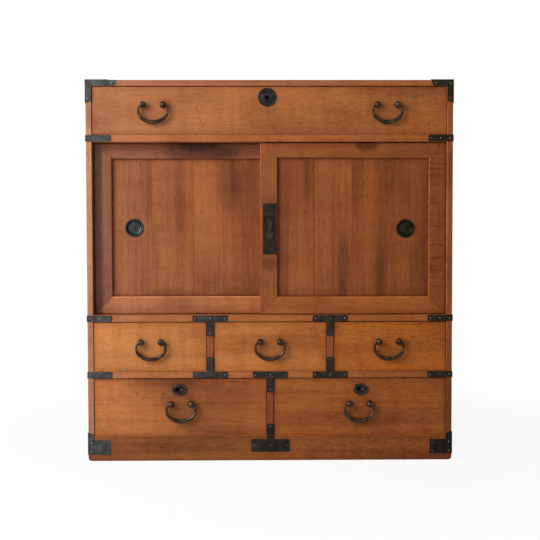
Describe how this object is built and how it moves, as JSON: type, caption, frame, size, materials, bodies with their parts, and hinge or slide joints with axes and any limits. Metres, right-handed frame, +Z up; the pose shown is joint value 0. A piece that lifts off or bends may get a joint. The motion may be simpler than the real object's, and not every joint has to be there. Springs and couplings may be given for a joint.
{
  "type": "merchant chest",
  "caption": "Wooden merchant chest with iron corners: a wide locking drawer over sliding doors, small drawers, and deep locking drawers with bail handles.",
  "frame": {"origin": "centre of the footprint on the floor, handles counted in the depth", "axes": "+Z up, front towards -Y, +X to the right of someone facing the front"},
  "size_m": [0.8774, 0.4368, 0.9112],
  "materials": {
    "carcass_wood": "old lacquered reddish brown wood, rubbed at the edges",
    "drawer_wood": "old lacquered orange brown wood with fine dents and pores",
    "door_wood": "old lacquered red brown wood, upright grain",
    "inside_wood": "bare softwood, planed",
    "iron": "blackened wrought iron, slightly worn"
  },
  "bodies": {
    "carcass": {"left_side": "carcass_wood", "right_side": "carcass_wood", "top_board": "carcass_wood", "base_front_rail": "carcass_wood", "lower_rail": "carcass_wood", "middle_rail": "carcass_wood", "upper_rail": "carcass_wood", "dust_boards": "inside_wood", "drawer_dividers": "carcass_wood", "back_boards": "inside_wood", "corner_irons": "iron", "rail_straps": "iron", "tee_irons": "iron", "iron_nails": "iron"},
    "top_drawer": {"top_drawer_front": "drawer_wood", "top_drawer_walls": "inside_wood", "top_drawer_bottom": "inside_wood", "top_drawer_handle_pins": "iron", "top_drawer_lock": "iron"},
    "top_drawer_left_handle": {"top_drawer_left_handle": "iron"},
    "top_drawer_right_handle": {"top_drawer_right_handle": "iron"},
    "top_drawer_lock_bolt": {"top_drawer_lock_bolt": "iron"},
    "left_small_drawer": {"left_small_drawer_front": "drawer_wood", "left_small_drawer_walls": "inside_wood", "left_small_drawer_bottom": "inside_wood", "left_small_drawer_handle_pins": "iron"},
    "left_small_drawer_handle": {"left_small_drawer_handle": "iron"},
    "middle_small_drawer": {"middle_small_drawer_front": "drawer_wood", "middle_small_drawer_walls": "inside_wood", "middle_small_drawer_bottom": "inside_wood", "middle_small_drawer_handle_pins": "iron"},
    "middle_small_drawer_handle": {"middle_small_drawer_handle": "iron"},
    "right_small_drawer": {"right_small_drawer_front": "drawer_wood", "right_small_drawer_walls": "inside_wood", "right_small_drawer_bottom": "inside_wood", "right_small_drawer_handle_pins": "iron"},
    "right_small_drawer_handle": {"right_small_drawer_handle": "iron"},
    "left_bottom_drawer": {"left_bottom_drawer_front": "drawer_wood", "left_bottom_drawer_walls": "inside_wood", "left_bottom_drawer_bottom": "inside_wood", "left_bottom_drawer_handle_pins": "iron", "left_bottom_drawer_lock": "iron"},
    "left_bottom_drawer_handle": {"left_bottom_drawer_handle": "iron"},
    "left_bottom_drawer_lock_bolt": {"left_bottom_drawer_lock_bolt": "iron"},
    "right_bottom_drawer": {"right_bottom_drawer_front": "drawer_wood", "right_bottom_drawer_walls": "inside_wood", "right_bottom_drawer_bottom": "inside_wood", "right_bottom_drawer_handle_pins": "iron", "right_bottom_drawer_lock": "iron"},
    "right_bottom_drawer_handle": {"right_bottom_drawer_handle": "iron"},
    "right_bottom_drawer_lock_bolt": {"right_bottom_drawer_lock_bolt": "iron"},
    "left_door": {"left_door_frame": "door_wood", "left_door_panel": "door_wood", "left_door_pull": "iron"},
    "right_door": {"right_door_frame": "door_wood", "right_door_panel": "door_wood", "right_door_pull": "iron", "door_lock_plate": "iron"},
    "keyhole_cover": {"keyhole_cover": "iron"},
    "door_lock_bolt": {"door_lock_bolt": "iron"}
  },
  "joints": [
    {"name": "top_drawer_slide", "type": "slide", "parent": "carcass", "child": "top_drawer", "axis": [0, -1, 0], "range_m": [0, 0.29]},
    {"name": "top_drawer_left_handle_hinge", "type": "hinge", "parent": "top_drawer", "child": "top_drawer_left_handle", "pos_m": [-0.2761, -0.2101, 0.8494], "axis": [-1, 0, 0], "range_deg": [-7, 180]},
    {"name": "top_drawer_right_handle_hinge", "type": "hinge", "parent": "top_drawer", "child": "top_drawer_right_handle", "pos_m": [0.2797, -0.2101, 0.8494], "axis": [-1, 0, 0], "range_deg": [-7, 180]},
    {"name": "top_drawer_lock_bolt_slide", "type": "slide", "parent": "top_drawer", "child": "top_drawer_lock_bolt", "axis": [0, 0, 1], "range_m": [0, 0.011]},
    {"name": "left_small_drawer_slide", "type": "slide", "parent": "carcass", "child": "left_small_drawer", "axis": [0, -1, 0], "range_m": [0, 0.29]},
    {"name": "left_small_drawer_handle_hinge", "type": "hinge", "parent": "left_small_drawer", "child": "left_small_drawer_handle", "pos_m": [-0.2844, -0.2101, 0.2862], "axis": [-1, 0, 0], "range_deg": [-7, 180]},
    {"name": "middle_small_drawer_slide", "type": "slide", "parent": "carcass", "child": "middle_small_drawer", "axis": [0, -1, 0], "range_m": [0, 0.29]},
    {"name": "middle_small_drawer_handle_hinge", "type": "hinge", "parent": "middle_small_drawer", "child": "middle_small_drawer_handle", "pos_m": [0, -0.2101, 0.2862], "axis": [-1, 0, 0], "range_deg": [-7, 180]},
    {"name": "right_small_drawer_slide", "type": "slide", "parent": "carcass", "child": "right_small_drawer", "axis": [0, -1, 0], "range_m": [0, 0.29]},
    {"name": "right_small_drawer_handle_hinge", "type": "hinge", "parent": "right_small_drawer", "child": "right_small_drawer_handle", "pos_m": [0.2844, -0.2101, 0.2862], "axis": [-1, 0, 0], "range_deg": [-7, 180]},
    {"name": "left_bottom_drawer_slide", "type": "slide", "parent": "carcass", "child": "left_bottom_drawer", "axis": [0, -1, 0], "range_m": [0, 0.29]},
    {"name": "left_bottom_drawer_handle_hinge", "type": "hinge", "parent": "left_bottom_drawer", "child": "left_bottom_drawer_handle", "pos_m": [-0.21345, -0.2101, 0.1373], "axis": [-1, 0, 0], "range_deg": [-7, 180]},
    {"name": "left_bottom_drawer_lock_bolt_slide", "type": "slide", "parent": "left_bottom_drawer", "child": "left_bottom_drawer_lock_bolt", "axis": [0, 0, 1], "range_m": [0, 0.011]},
    {"name": "right_bottom_drawer_slide", "type": "slide", "parent": "carcass", "child": "right_bottom_drawer", "axis": [0, -1, 0], "range_m": [0, 0.29]},
    {"name": "right_bottom_drawer_handle_hinge", "type": "hinge", "parent": "right_bottom_drawer", "child": "right_bottom_drawer_handle", "pos_m": [0.21345, -0.2101, 0.1373], "axis": [-1, 0, 0], "range_deg": [-7, 180]},
    {"name": "right_bottom_drawer_lock_bolt_slide", "type": "slide", "parent": "right_bottom_drawer", "child": "right_bottom_drawer_lock_bolt", "axis": [0, 0, 1], "range_m": [0, 0.011]},
    {"name": "left_door_slide", "type": "slide", "parent": "carcass", "child": "left_door", "axis": [-1, 0, 0], "range_m": [-0.399, 0]},
    {"name": "right_door_slide", "type": "slide", "parent": "carcass", "child": "right_door", "axis": [1, 0, 0], "range_m": [-0.399, 0]},
    {"name": "keyhole_cover_hinge", "type": "hinge", "parent": "right_door", "child": "keyhole_cover", "pos_m": [-0.0008, -0.19645, 0.5767], "axis": [0, 1, 0], "range_deg": [-100, 100]},
    {"name": "door_lock_bolt_slide", "type": "slide", "parent": "right_door", "child": "door_lock_bolt", "axis": [0, 1, 0], "range_m": [0, 0.01]}
  ]
}
